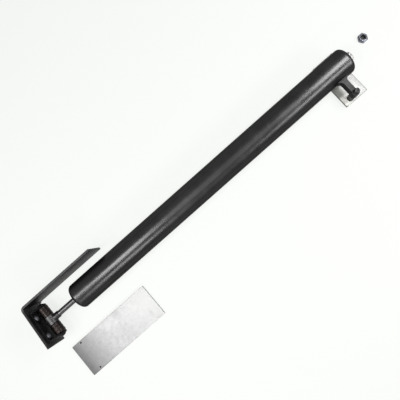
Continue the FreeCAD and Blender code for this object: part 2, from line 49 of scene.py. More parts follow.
# camera, as the photograph was taken: from above, near the middle of the tube
cameraView = {
    "place": (-0.24269, -0.02657, 0.60368),
    "turn": (3.4952, 4.5977, -41.2815),
    "lens": 37.817,
    "sensor": 36.0,
}
cameraData = bpy.data.cameras.new("photoCamera")
cameraData.lens = cameraView["lens"]
cameraData.sensor_width = cameraView["sensor"]
cameraData.clip_start = 0.01
photoCamera = bpy.data.objects.new("photoCamera", cameraData)
photoCamera.location = cameraView["place"]
photoCamera.rotation_euler = [math.radians(angle) for angle in cameraView["turn"]]
bpy.context.scene.collection.objects.link(photoCamera)
bpy.context.scene.camera = photoCamera
bpy.context.scene.view_settings.view_transform = "Standard"
print("camera set")


# shader sums: a wrapped socket takes part in plain arithmetic
def feed(tree, slot, term):
    if isinstance(term, Sock):
        tree.links.new(term.socket, slot)
    else:
        slot.default_value = term


class Sock:
    def __init__(self, tree, socket):
        self.tree = tree
        self.socket = socket

    def maths(self, operation, *terms):
        node = self.tree.nodes.new("ShaderNodeMath")
        node.operation = operation
        for slot, term in zip(node.inputs, terms):
            feed(self.tree, slot, term)
        return Sock(self.tree, node.outputs[0])

    def __add__(self, other):
        return self.maths("ADD", self, other)

    def __radd__(self, other):
        return self.maths("ADD", other, self)

    def __sub__(self, other):
        return self.maths("SUBTRACT", self, other)

    def __rsub__(self, other):
        return self.maths("SUBTRACT", other, self)

    def __mul__(self, other):
        return self.maths("MULTIPLY", self, other)

    def __rmul__(self, other):
        return self.maths("MULTIPLY", other, self)

    def __pow__(self, other):
        return self.maths("POWER", self, other)

    def __rpow__(self, other):
        return self.maths("POWER", other, self)

    def out(self, name):
        return Sock(self.tree, self.socket.node.outputs[name])


class Finish:
    def __init__(self, name, world=None):
        # a new material, or the nodes of a world
        self.owner = world or bpy.data.materials.new(name)
        self.owner.use_nodes = True
        self.tree = self.owner.node_tree
        self.tree.nodes.clear()
        self.where = self.add("ShaderNodeTexCoord").out("Object")

    def add(self, kind, settings=None, sockets=None):
        # any node: its settings first, then what goes into its sockets
        node = self.tree.nodes.new(kind)
        for name, value in (settings or {}).items():
            setattr(node, name, value)
        for name, term in (sockets or {}).items():
            feed(self.tree, node.inputs[name], term)
        return Sock(self.tree, node.outputs[0]) if node.outputs else None

    def turned(self, centre=(0, 0, 0), stretch=(1, 1, 1), turn=(0, 0, 0)):
        # coordinates about a centre, stretched and turned
        moved = self.add("ShaderNodeVectorMath", {"operation": "SUBTRACT"}, {0: self.where, 1: centre})
        return self.add("ShaderNodeMapping", {"vector_type": "POINT"},
                        {"Vector": moved, "Scale": stretch, "Rotation": turn})

    def noise(self, where, scale, detail=3.0, rough=0.5):
        return self.add("ShaderNodeTexNoise", {"noise_dimensions": "3D"},
                        {"Vector": where, "Scale": scale, "Detail": detail, "Roughness": rough})

    def specks(self, where, scale):
        return self.add("ShaderNodeTexVoronoi", {"feature": "F1"}, {"Vector": where, "Scale": scale})

    def between(self, value, low, high, start=0.0, end=1.0):
        # soft step: start below low, end above high
        return self.add("ShaderNodeMapRange", {"interpolation_type": "SMOOTHSTEP", "clamp": True},
                        {"Value": value, "From Min": low, "From Max": high, "To Min": start, "To Max": end})

    def mix(self, share, first, second):
        colours = self.add("ShaderNodeMix", {"data_type": "RGBA"}, {0: share, 6: first, 7: second})
        return Sock(self.tree, colours.socket.node.outputs[2])

    def parts(self, vector):
        split = self.add("ShaderNodeSeparateXYZ", None, {"Vector": vector})
        return split.out("X"), split.out("Y"), split.out("Z")

    def facing(self, letter):
        # how squarely a face looks along one axis of the piece, 0 to 1
        normal = self.add("ShaderNodeTexCoord").out("Normal")
        along = self.parts(normal)["XYZ".index(letter)]
        return along.maths("ABSOLUTE", along)

    def bump(self, height, distance):
        return self.add("ShaderNodeBump", None, {"Height": height, "Distance": distance, "Strength": 1.0})

    def surface(self, **sockets):
        named = {name.replace("_", " "): term for name, term in sockets.items()}
        shader = self.add("ShaderNodeBsdfPrincipled", {"distribution": "GGX"}, named)
        self.add("ShaderNodeOutputMaterial", None, {"Surface": shader})
        return self.owner


def grey(level):
    return (level, level, level, 1.0)


# satin black enamel of the tube: flecked, rubbed along its rolled ends, with painted shade darkening its sides
tubeLook = {"dark": grey(0.058), "light": grey(0.080), "rub": grey(0.16), "side": grey(0.012), "metal": 0.75,
            "rim": grey(0.08), "rough": (0.25, 0.33), "peel": 0.000016, "ends": (-0.473, 0.024), "endBand": 0.012,
            "scuffed": 0.55, "shadedSideBand": (0.68, 0.86), "shadedSideShare": 0.62,
            "dullFrom": (-0.35, -0.26), "dullTo": (-0.12, -0.05), "dull": 0.03}


def makeTubeEnamel():
    finish = Finish("tubeEnamel")
    x = finish.parts(finish.where)[0]
    cloud = finish.noise(finish.where, 34.0, 5.0, 0.62)
    drawn = finish.noise(finish.turned(stretch=(6.0, 420.0, 420.0)), 1.0, 3.0, 0.6)
    peel = finish.noise(finish.where, 1300.0, 2.0, 0.5)
    body = finish.mix(finish.between(cloud * 0.55 + drawn * 0.45, 0.36, 0.66), tubeLook["dark"], tubeLook["light"])
    frontEnd, rearEnd = tubeLook["ends"]
    nearFront = finish.between(x, frontEnd, frontEnd + tubeLook["endBand"], 1.0, 0.0)
    nearRear = finish.between(x, rearEnd - tubeLook["endBand"], rearEnd, 0.0, 1.0)
    scuff = finish.between(finish.noise(finish.where, 260.0, 4.0, 0.7), 0.52, 0.68)
    rub = (nearFront + nearRear) * scuff * tubeLook["scuffed"]
    specks = finish.between(finish.specks(finish.where, 420.0), 0.02, 0.10, 0.35, 0.0)
    colour = finish.mix(rub, body, tubeLook["rub"])
    colour = finish.mix(specks, colour, tubeLook["rub"])
    # painted shade: the sides of the tube, where the surface turns away from up, are darkened
    side = finish.between(finish.facing("Z"), *tubeLook["shadedSideBand"], tubeLook["shadedSideShare"], 0.0)
    colour = finish.mix(side, colour, tubeLook["side"])
    rough = finish.between(cloud * 0.7 + peel * 0.3, 0.35, 0.65, *tubeLook["rough"])
    dull = finish.between(x, *tubeLook["dullFrom"]) * finish.between(x, *tubeLook["dullTo"], tubeLook["dull"], 0.0)
    return finish.surface(Base_Color=colour, Metallic=tubeLook["metal"], Roughness=rough + rub * 0.2 + dull,
                          Specular_Tint=tubeLook["rim"], Normal=finish.bump(peel + drawn * 0.35, tubeLook["peel"]))


# brushed-on black of the bracket, the clevis and the arm: duller, thin in scratches and along upward edges, where a
# painted highlight is added too, and with painted light towards the foot of the long leg
strapLook = {"dark": grey(0.003), "light": grey(0.011), "bare": grey(0.08), "edge": grey(0.10), "footLightGrey": grey(0.060),
             "rough": (0.42, 0.58), "legInside": 0.0755, "legFade": 0.004, "grain": 0.00006}
strapCoats = {
    "strapBlack": {"lift": 0.75, "shortEdge": 0.15, "gloss": 0.12},
    "clevisBlack": {"lift": 0.10, "shortEdge": 0.0, "gloss": 0.06},
    "armBlack": {"lift": 1.0, "shortEdge": 1.0, "gloss": 0.04},
}


def makeStrapBlack(name):
    coat = strapCoats[name]
    lift, shortEdge = coat["lift"], coat["shortEdge"]
    finish = Finish(name)
    cloud = finish.noise(finish.where, 55.0, 6.0, 0.65)
    grain = finish.noise(finish.where, 900.0, 3.0, 0.6)
    scratch = finish.noise(finish.turned(stretch=(40.0, 900.0, 900.0), turn=(0.1, 0.2, 0.3)), 1.0, 3.0, 0.6)
    colour = finish.mix(finish.between(cloud, 0.34, 0.68), strapLook["dark"], strapLook["light"])
    thin = finish.between(scratch, 0.66, 0.74, 0.0, 0.5) + finish.between(cloud * grain, 0.36, 0.44, 0.0, 0.45)
    colour = finish.mix(thin * lift, colour, strapLook["bare"])
    _, y, z = finish.parts(finish.where)
    longLeg = finish.between(y, strapLook["legInside"] - strapLook["legFade"], strapLook["legInside"])
    # upward faces lighter: worn thin paint on the cut edges, with a painted highlight; on the arm its whole top
    wornAndLitEdge = finish.between(finish.facing("Z"), 0.75, 0.95) * finish.between(cloud, 0.25, 0.6, 0.45, 1.0)
    colour = finish.mix(wornAndLitEdge * (longLeg * (1.0 - shortEdge) + shortEdge) * lift, colour, strapLook["edge"])
    # painted light: the long leg turns lighter towards its foot
    paintedFootLight = finish.between(z + cloud * 0.012, 0.004, 0.036, 0.8, 0.0) * finish.between(grain, 0.3, 0.6, 0.5, 1.0)
    colour = finish.mix(paintedFootLight * longLeg * lift, colour, strapLook["footLightGrey"])
    rough = finish.between(grain * 0.5 + cloud * 0.5, 0.35, 0.65, *strapLook["rough"])
    return finish.surface(Base_Color=colour, Roughness=rough, Specular_IOR_Level=coat["gloss"],
                          Normal=finish.bump(grain + scratch * 0.4, strapLook["grain"]))


# pale zinc plating of the plates: cloudy, finely rolled, with grey stains; a painted highlight towards one end,
# painted shade in a grey zone, a painted pale reflection in one corner, and darker sides that are bare sheared
# steel with painted shade
zincLook = {"pale": (0.60, 0.605, 0.60, 1.0), "shade": (0.42, 0.425, 0.42, 1.0), "stain": (0.26, 0.262, 0.245, 1.0),
            "edge": (0.10, 0.10, 0.095, 1.0), "paintedHighlight": (0.66, 0.665, 0.655, 1.0), "rough": (0.46, 0.60),
            "metal": 0.35, "gloss": 0.2, "grain": 0.00003}
zincPlates = {
    "plateZinc": {"stained": 0.35, "specks": 0.25, "dull": (0.172, 0.172, 0.175, 1.0), "paintedShadeX": (-0.540, -0.468),
                  "paintedShadeY": (-0.2, -0.1), "paintedFarShadeY": (0.5, 0.6), "brightX": (-0.468, -0.400), "brightest": 0.75},
    "postZinc": {"stained": 0.45, "specks": 0.55, "dull": (0.37, 0.375, 0.345, 1.0), "paintedShadeX": (-0.005, 0.006),
                 "paintedShadeY": (0.006, 0.011), "paintedFarShadeY": (0.043, 0.052), "brightX": (0.002, 0.010), "brightest": 0.6,
                 "paintedReflectionCream": (0.94, 0.93, 0.87, 1.0), "paintedReflectionX": (-0.005, 0.003),
                 "rim": (0.0255, -0.0069), "rimBand": (0.0008, 0.0018), "rimShare": 0.55},
}


def makeZinc(name):
    plate = zincPlates[name]
    finish = Finish(name)
    x, y, _ = finish.parts(finish.where)
    cloud = finish.noise(finish.where, 42.0, 6.0, 0.68)
    fleck = finish.noise(finish.where, 620.0, 4.0, 0.7)
    rolled = finish.noise(finish.turned(stretch=(14.0, 700.0, 700.0)), 1.0, 3.0, 0.55)
    mottle = finish.noise(finish.where, 190.0, 5.0, 0.7)
    colour = finish.mix(finish.between(cloud * 0.25 + mottle * 0.5 + rolled * 0.07 + fleck * 0.18, 0.33, 0.67),
                        zincLook["shade"], zincLook["pale"])
    drift = (cloud - 0.5) * 0.02
    # painted highlight: the plate turns paler towards one end
    paintedHighlight = finish.between(x + drift, *plate["brightX"], 0.0, plate["brightest"])
    colour = finish.mix(paintedHighlight, colour, zincLook["paintedHighlight"])
    # painted shade: the plate's dull grey laid over a zone by x and y, and over a band far along y
    behind = finish.between(y + drift, *plate["paintedShadeY"])
    dull = finish.between(x + drift, *plate["paintedShadeX"], 0.95, 0.0) * behind
    far = finish.between(y, *plate["paintedFarShadeY"], 0.0, 0.9)
    colour = finish.mix(dull.maths("MAXIMUM", dull, far), colour, plate["dull"])
    stain = finish.between(finish.noise(finish.where, 21.0, 7.0, 0.72), 0.56, 0.72, 0.0, plate["stained"])
    freckle = finish.between(finish.noise(finish.where, 900.0, 3.0, 0.6), 0.46, 0.74, 0.0, plate["specks"])
    colour = finish.mix(stain.maths("MAXIMUM", stain, freckle), colour, zincLook["stain"])
    if "paintedReflectionCream" in plate:  # painted reflection: a pale corner in front of the arm
        corner = (1.0 - behind) * finish.between(x + drift, *plate["paintedReflectionX"], 1.0, 0.0)
        colour = finish.mix(corner * finish.between(cloud, 0.3, 0.6, 0.75, 1.0), colour, plate["paintedReflectionCream"])
    if "rim" in plate:  # grey line along two edges
        endX, endY = plate["rim"]
        near, wide = plate["rimBand"]
        rim = (finish.between(x, endX - wide, endX - near, 0.0, plate["rimShare"])
               + finish.between(y, endY + near, endY + wide, plate["rimShare"], 0.0))
        colour = finish.mix(rim, colour, zincLook["stain"])
    # side faces and bevels darker: bare sheared steel, and painted shade
    shearedAndShaded = finish.between(finish.facing("Z"), 0.3, 0.6, 0.85, 0.0)
    colour = finish.mix(shearedAndShaded, colour, zincLook["edge"])
    rough = finish.between(cloud * 0.6 + fleck * 0.4, 0.35, 0.65, *zincLook["rough"])
    return finish.surface(Base_Color=colour, Metallic=zincLook["metal"], Roughness=rough,
                          Specular_IOR_Level=zincLook["gloss"],
                          Normal=finish.bump(fleck + rolled * 0.6, zincLook["grain"]))


# turned and drawn steels: base colours, roughness and the direction of their fine marks
steelLooks = {
    "rodGround": {"dark": grey(0.098), "light": grey(0.136), "rough": (0.34, 0.42), "marks": (2400.0, 60.0, 60.0)},
    "oiledSteel": {"dark": grey(0.010), "light": grey(0.036), "rough": (0.40, 0.55), "marks": (60.0, 60.0, 1100.0)},
    "studSteel": {"dark": grey(0.010), "light": grey(0.036), "rough": (0.34, 0.50), "marks": (300.0, 300.0, 900.0)},
    "eyeSteel": {"dark": grey(0.040), "light": grey(0.090), "rough": (0.32, 0.46), "marks": (300.0, 300.0, 300.0)},
    "boltBright": {"dark": grey(0.20), "light": grey(0.42), "rough": (0.24, 0.40), "marks": (500.0, 120.0, 500.0)},
    "rivetDull": {"dark": (0.10, 0.101, 0.112, 1.0), "light": (0.22, 0.222, 0.24, 1.0), "rough": (0.52, 0.66),
                  "marks": (500.0, 300.0, 300.0)},
    "springWire": {"dark": grey(0.16), "light": grey(0.34), "rough": (0.30, 0.45), "marks": (700.0, 90.0, 90.0)},
    "screwPale": {"dark": (0.50, 0.50, 0.485, 1.0), "light": (0.66, 0.66, 0.645, 1.0), "rough": (0.40, 0.52),
                  "marks": (120.0, 600.0, 600.0)},
    "plugDark": {"dark": grey(0.040), "light": grey(0.075), "rough": (0.34, 0.50), "marks": (40.0, 1400.0, 1400.0)},
    "nutBlue": {"dark": (0.12, 0.126, 0.147, 1.0), "light": (0.26, 0.27, 0.31, 1.0), "rough": (0.30, 0.46),
                "marks": (300.0, 300.0, 900.0),
                "bore": {"centre": (0.0724, 0.0526, 0.0), "radius": (0.0043, 0.0048),
                         "shadeBlack": (0.006, 0.006, 0.008, 1.0)}},
}
steelMetal = 0.92
steelGrain = 0.00002


def makeSteel(name):
    look = steelLooks[name]
    finish = Finish(name)
    cloud = finish.noise(finish.where, 120.0, 5.0, 0.65)
    marks = finish.noise(finish.turned(stretch=look["marks"]), 1.0, 4.0, 0.6)
    colour = finish.mix(finish.between(cloud * 0.45 + marks * 0.55, 0.36, 0.64), look["dark"], look["light"])
    rough = finish.between(marks * 0.5 + cloud * 0.5, 0.35, 0.65, *look["rough"])
    if "bore" in look:  # painted shade darkens the threaded bore
        x, y, _ = finish.parts(finish.turned(look["bore"]["centre"]))
        inside = finish.between((x * x + y * y) ** 0.5, *look["bore"]["radius"], 1.0, 0.0)
        colour = finish.mix(inside, colour, look["bore"]["shadeBlack"])
    return finish.surface(Base_Color=colour, Metallic=steelMetal, Roughness=rough,
                          Normal=finish.bump(marks, steelGrain))


# oiled bronze of the bushes: brown streaks that run along the bolt
bronzeLook = {"dark": (0.008, 0.007, 0.006, 1.0), "brown": (0.022, 0.016, 0.0145, 1.0),
              "pale": (0.078, 0.066, 0.061, 1.0), "metal": 0.8, "rough": (0.32, 0.5), "grain": 0.00005}


def makeBronze():
    finish = Finish("bushBronze")
    streak = finish.noise(finish.turned(stretch=(520.0, 45.0, 520.0)), 1.0, 4.0, 0.65)
    pores = finish.specks(finish.where, 1400.0)
    colour = finish.mix(finish.between(streak, 0.38, 0.52), bronzeLook["dark"], bronzeLook["brown"])
    colour = finish.mix(finish.between(streak, 0.56, 0.70), colour, bronzeLook["pale"])
    rough = finish.between(streak, 0.3, 0.7, *bronzeLook["rough"])
    return finish.surface(Base_Color=colour, Metallic=bronzeLook["metal"], Roughness=rough,
                          Normal=finish.bump(streak + pores * 0.5, bronzeLook["grain"]))


# moulded plastics and rubbers
mouldLooks = {
    "pistonResin": {"base": (0.78, 0.76, 0.69, 1.0), "shade": (0.66, 0.63, 0.56, 1.0), "rough": (0.38, 0.50)},
    "sealRubber": {"base": grey(0.018), "shade": grey(0.036), "rough": (0.55, 0.72)},
    "insertNylon": {"base": (0.016, 0.017, 0.022, 1.0), "shade": (0.040, 0.042, 0.052, 1.0), "rough": (0.35, 0.48)},
}
mouldGrain = 0.00002


def makeMoulded(name):
    look = mouldLooks[name]
    finish = Finish(name)
    cloud = finish.noise(finish.where, 160.0, 4.0, 0.6)
    grain = finish.noise(finish.where, 1500.0, 2.0, 0.5)
    colour = finish.mix(finish.between(cloud, 0.35, 0.65), look["base"], look["shade"])
    rough = finish.between(cloud * 0.5 + grain * 0.5, 0.35, 0.65, *look["rough"])
    return finish.surface(Base_Color=colour, Roughness=rough, Normal=finish.bump(grain, mouldGrain))


finishes = {
    "tubeEnamel": makeTubeEnamel(),
    "bushBronze": makeBronze(),
}
for makeFinish, finishNames in ((makeStrapBlack, strapCoats), (makeZinc, zincPlates), (makeSteel, steelLooks),
                                (makeMoulded, mouldLooks)):
    finishes.update({name: makeFinish(name) for name in finishNames})
print("finishes made:", len(finishes))


# which finish each CAD node carries
nodeFinish = {
    "tubeEnamel": ["cylinder_tube"],
    "armBlack": ["pivot_arm"],
    "strapBlack": ["gate_bracket", "clevis"],
    "plateZinc": ["weld_plate"],
    "postZinc": ["post_plate"],
    "rodGround": ["piston_rod"],
    "oiledSteel": ["pivot_stud", "stud_sleeve", "pivot_bolt", "pivot_nut"],
    "eyeSteel": ["rod_eye"],
    "rivetDull": ["clevis_rivets"],
    "boltBright": ["piston_nut", "piston_washer", "spring_seat"],
    "springWire": ["return_spring"],
    "screwPale": ["speed_screw", "screw_washer"],
    "plugDark": ["end_plug", "rod_guide"],
    "nutBlue": ["stud_lock_nut"],
    "bushBronze": ["pivot_bushes"],
    "pistonResin": ["piston"],
    "sealRubber": ["rod_seal", "piston_cup", "end_plug_o_ring", "rod_guide_o_ring"],
    "insertNylon": ["lock_nut_insert"],
}
for finishName, nodeNames in nodeFinish.items():
    for nodeName in nodeNames:
        slots = cadNodes[nodeName].data.materials
        if len(slots) == 0:
            slots.append(finishes[finishName])
        for index in range(len(slots)):
            slots[index] = finishes[finishName]
print("finishes put on", sum(len(names) for names in nodeFinish.values()), "nodes")


# modelling steps that the pieces below share
def clearPick():
    if bpy.context.mode != "OBJECT":
        bpy.ops.object.mode_set(mode="OBJECT")
    bpy.ops.object.select_all(action="DESELECT")


def makeActive(piece):
    clearPick()
    piece.select_set(True)
    bpy.context.view_layer.objects.active = piece


def openMesh(piece):
    makeActive(piece)
    bpy.ops.object.mode_set(mode="EDIT")
    bpy.ops.mesh.select_mode(type="VERT")


def closeMesh():
    bpy.ops.object.mode_set(mode="OBJECT")


def settle(piece):
    # the primitive's place goes into its mesh
    makeActive(piece)
    bpy.ops.object.transform_apply(location=True, rotation=True, scale=True)
    return piece


def pick(piece, kind, test):
    bpy.ops.mesh.select_mode(type={"verts": "VERT", "edges": "EDGE"}[kind])
    bpy.ops.mesh.select_all(action="DESELECT")
    shape = bmesh.from_edit_mesh(piece.data)
    for item in getattr(shape, kind):
        if test(item):
            item.select_set(True)
    bmesh.update_edit_mesh(piece.data)


def middle(edge):
    return (edge.verts[0].co + edge.verts[1].co) / 2


def runs(edge):
    return (edge.verts[0].co - edge.verts[1].co).normalized()


def atX(edge, x):
    return abs(middle(edge).x - x * mm) < 0.00001


def tidyMesh(piece):
    openMesh(piece)
    bpy.ops.mesh.select_all(action="SELECT")
    bpy.ops.mesh.remove_doubles(threshold=0.000002)
    bpy.ops.mesh.normals_make_consistent(inside=False)
    closeMesh()


def bevelEdges(piece, width, segments, test):
    openMesh(piece)
    pick(piece, "edges", test)
    bpy.ops.mesh.bevel(offset_type="OFFSET", offset=width * mm, segments=segments, affect="EDGES",
                       clamp_overlap=True)
    closeMesh()


def sharpEdge(edge):
    return len(edge.link_faces) == 2 and edge.calc_face_angle(0.0) > math.radians(50)


def carve(piece, tool, operation="DIFFERENCE"):
    makeActive(piece)
    step = piece.modifiers.new("carve", "BOOLEAN")
    step.operation = operation
    step.solver = "EXACT"
    step.object = tool
    bpy.ops.object.modifier_apply(modifier=step.name)
    bpy.data.objects.remove(tool)


def rod(sides, radius, start, end, twist=0.0):
    # a prism or round bar between two points
    start, end = Vector(start) * mm, Vector(end) * mm
    run = end - start
    turn = run.to_track_quat("Z", "Y") @ Matrix.Rotation(math.radians(twist), 3, "Z").to_quaternion()
    clearPick()
    bpy.ops.mesh.primitive_cylinder_add(vertices=sides, radius=radius * mm, depth=run.length,
                                        location=(start + end) / 2, rotation=turn.to_euler())
    return settle(bpy.context.object)


def drill(piece, radius, start, end):
    carve(piece, rod(32, radius, start, end))


def block(low, high):
    low, high = Vector(low) * mm, Vector(high) * mm
    clearPick()
    bpy.ops.mesh.primitive_cube_add(size=1.0, location=(low + high) / 2)
    bpy.context.object.scale = high - low
    return settle(bpy.context.object)


def arc(centre, radius, start, end, steps):
    # corners of a round on a profile: (along, radius) pairs
    turns = [math.radians(start + (end - start) * step / steps) for step in range(steps + 1)]
    return [(centre[0] + radius * math.cos(turn), centre[1] + radius * math.sin(turn)) for turn in turns]


def spun(letter, centre, profile, steps):
    # a profile drawn corner by corner with extrude, then spun round its axis
    cx, cy, cz = centre
    place = {"X": lambda a, r: Vector((cx + a, cy, cz + r)),
             "Y": lambda a, r: Vector((cx, cy + a, cz + r)),
             "Z": lambda a, r: Vector((cx + r, cy, cz + a))}[letter]
    corners = [place(a, r) * mm for a, r in profile]
    clearPick()
    bpy.ops.mesh.primitive_plane_add(size=mm, location=corners[0])
    piece = settle(bpy.context.object)
    openMesh(piece)
    bpy.ops.mesh.select_all(action="SELECT")
    bpy.ops.mesh.merge(type="CENTER")
    for start, end in zip(corners, corners[1:]):
        bpy.ops.mesh.extrude_region_move(TRANSFORM_OT_translate={"value": end - start})
    bpy.ops.mesh.select_all(action="SELECT")
    bpy.ops.mesh.spin(steps=steps, angle=2 * math.pi, center=Vector(centre) * mm,
                      axis=[1.0 if letter == other else 0.0 for other in "XYZ"])
    closeMesh()
    tidyMesh(piece)
    return piece


def joinAll(first, *others):
    makeActive(first)
    for other in others:
        other.select_set(True)
    bpy.ops.object.join()
    return first


def finishPiece(piece, name, body, finishName, replaced=(), angle=32.0):
    settle(piece)
    tidyMesh(piece)
    makeActive(piece)
    bpy.ops.object.shade_smooth_by_angle(angle=math.radians(angle))
    piece.name = name
    piece.data.name = name
    piece.data.materials.clear()
    piece.data.materials.append(finishes[finishName])
    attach(piece, body)
    if replaced:
        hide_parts(*replaced)
    return piece


# bent sheet: a section drawn through runs, bends and tapers
def bentSheet(section, course):
    clearPick()
    low, high = Vector(section["low"]) * mm, Vector(section["high"]) * mm
    bpy.ops.mesh.primitive_plane_add(size=1.0, location=(low + high) / 2, rotation=(0.0, math.pi / 2, 0.0))
    piece = bpy.context.object
    piece.scale = (high.z - low.z, high.y - low.y, 1.0)
    settle(piece)
    openMesh(piece)
    bpy.ops.mesh.select_all(action="SELECT")
    bpy.ops.mesh.delete(type="ONLY_FACE")
    bpy.ops.mesh.select_all(action="SELECT")
    for step in course:
        if "run" in step:
            bpy.ops.mesh.extrude_region_move(TRANSFORM_OT_translate={"value": Vector(step["run"]) * mm})
        if "height" in step:
            bpy.ops.transform.resize(value=(1.0, 1.0, step["height"]),
                                     center_override=(0.0, 0.0, section["middle"] * mm))
        if "bend" in step:
            bpy.ops.mesh.spin(steps=step["steps"], angle=-math.radians(step["bend"]),
                              center=Vector(step["centre"]) * mm, axis=(0.0, 0.0, 1.0))
    bpy.ops.mesh.select_all(action="SELECT")
    bpy.ops.mesh.fill_holes(sides=4)
    closeMesh()
    tidyMesh(piece)
    return piece


# what the rod end shares: the lean of the short leg, the bolt's middle, and rivets across the clevis and the strip
legLean = 3.7
boltAxis = (-521.0, 42.5, 25.4)
rivetSize = {"faceX": -536.212, "places": [(57.0, 37.9), (28.0, 37.9), (28.0, 12.9), (57.0, 12.9)], "bore": 2.55,
             "outer": 2.0, "inner": 9.0}


def drillRivets(sheet):
    lean = math.radians(legLean)
    away = Vector((math.cos(lean), -math.sin(lean), 0.0))
    for y, z in rivetSize["places"]:
        face = Vector((rivetSize["faceX"] + (y - boltAxis[1]) * math.tan(lean), y, z))
        drill(sheet, rivetSize["bore"], face - away * rivetSize["outer"], face + away * rivetSize["inner"])


# gate bracket: one strip on its edge, long leg first, bent a little past square
gateStripSize = {
    "section": {"low": (-410.832, 76.1, 0.0), "high": (-410.832, 79.3, 50.8), "middle": 25.4},
    "bendCentre": (-528.207, 73.3, 25.4), "shortRun": 60.775, "edge": 0.45,
}


def makeGateStrip():
    size = gateStripSize
    lean = math.radians(legLean)
    strip = bentSheet(size["section"], [
        {"run": (size["bendCentre"][0] - size["section"]["low"][0], 0.0, 0.0)},
        {"bend": 90.0 - legLean, "centre": size["bendCentre"], "steps": 12},
        {"run": (-size["shortRun"] * math.sin(lean), -size["shortRun"] * math.cos(lean), 0.0)},
    ])
    bevelEdges(strip, size["edge"], 3, sharpEdge)
    drillRivets(strip)
    return finishPiece(strip, "gateStrip", "gate_side", "strapBlack", ["gate_bracket"])


# clevis: a bent sheet whose base lies on the short leg, with tapered cheeks
clevisSize = {
    "section": {"low": (-514.8, 64.7, 18.9), "high": (-514.8, 67.2, 31.9), "middle": 25.4},
    "rootX": -526.5, "taper": 38.8 / 13.0, "highBend": (-528.127, 63.7, 25.4), "lowBend": (-530.868, 21.3, 25.4),
    "baseRun": 42.488, "tipRound": 5.2, "edge": 0.25, "boltBore": 3.05, "boreFrom": 12.0, "boreTo": 73.0,
}


def makeClevis():
    size = clevisSize
    lean = math.radians(legLean)
    tipX = size["section"]["low"][0]
    sheet = bentSheet(size["section"], [
        {"run": (size["rootX"] - tipX, 0.0, 0.0), "height": size["taper"]},
        {"run": (size["highBend"][0] - size["rootX"], 0.0, 0.0)},
        {"bend": 90.0 - legLean, "centre": size["highBend"], "steps": 8},
        {"run": (-size["baseRun"] * math.sin(lean), -size["baseRun"] * math.cos(lean), 0.0)},
        {"bend": 90.0 + legLean, "centre": size["lowBend"], "steps": 8},
        {"run": (size["rootX"] - size["lowBend"][0], 0.0, 0.0)},
        {"run": (tipX - size["rootX"], 0.0, 0.0), "height": 1.0 / size["taper"]},
    ])
    bevelEdges(sheet, size["tipRound"], 6, lambda edge: abs(runs(edge).y) > 0.9 and atX(edge, tipX))
    bevelEdges(sheet, size["edge"], 2, sharpEdge)
    drillRivets(sheet)
    x, _, z = boltAxis
    drill(sheet, size["boltBore"], (x, size["boreFrom"], z), (x, size["boreTo"], z))
    return finishPiece(sheet, "clevisSheet", "gate_side", "clevisBlack", ["clevis"])


# sheared zinc plates: round corners, edges broken, two small holes in the loose one
plateSizes = {
    "weldPlate": {"low": (-533.6, -55.3, 0.0), "high": (-398.6, -4.5, 3.2), "corner": 1.0, "edge": 0.12,
                  "holes": [(-519.1, -7.7), (-519.1, -52.1)], "bore": 1.3, "body": "loose_plate",
                  "finish": "plateZinc", "node": "weld_plate"},
    "postPlate": {"low": (-11.3, -6.9, 0.0), "high": (25.5, 65.7, 4.8), "corner": 1.0, "edge": 0.15,
                  "holes": [], "bore": 0.0, "body": "post_side", "finish": "postZinc", "node": "post_plate"},
}


def makePlate(name):
    size = plateSizes[name]
    plate = block(size["low"], size["high"])
    bevelEdges(plate, size["corner"], 4, lambda edge: abs(runs(edge).z) > 0.9)
    bevelEdges(plate, size["edge"], 2, sharpEdge)
    for x, y in size["holes"]:
        drill(plate, size["bore"], (x, y, size["low"][2] - 2.0), (x, y, size["high"][2] + 2.8))
    return finishPiece(plate, name, size["body"], size["finish"], [size["node"]])


# loose lock nut: chamfered hexagon, rolled crown, screw thread and a dark ring
lockNutSize = {"centre": (72.4, 52.6, 0.0), "acrossCorners": 14.664, "hexTop": 4.0, "top": 5.8, "crown": 5.55,
               "lip": 0.5, "seat": 4.65, "seatBase": 4.6, "pitch": 1.25, "major": 4.0, "minor": 3.36,
               "ring": 3.15, "ringGap": 0.04, "ringBreak": 0.25}


def threadRings(start, end, pitch, minor, major):
    # a thread's outline along its axis, groove by groove
    corners, along = [], start
    while along + pitch <= end + 0.001:
        for share, radius in ((0.06, major), (0.44, minor), (0.56, minor), (0.94, major)):
            corners.append((along + pitch * share, radius))
        along += pitch
    return corners


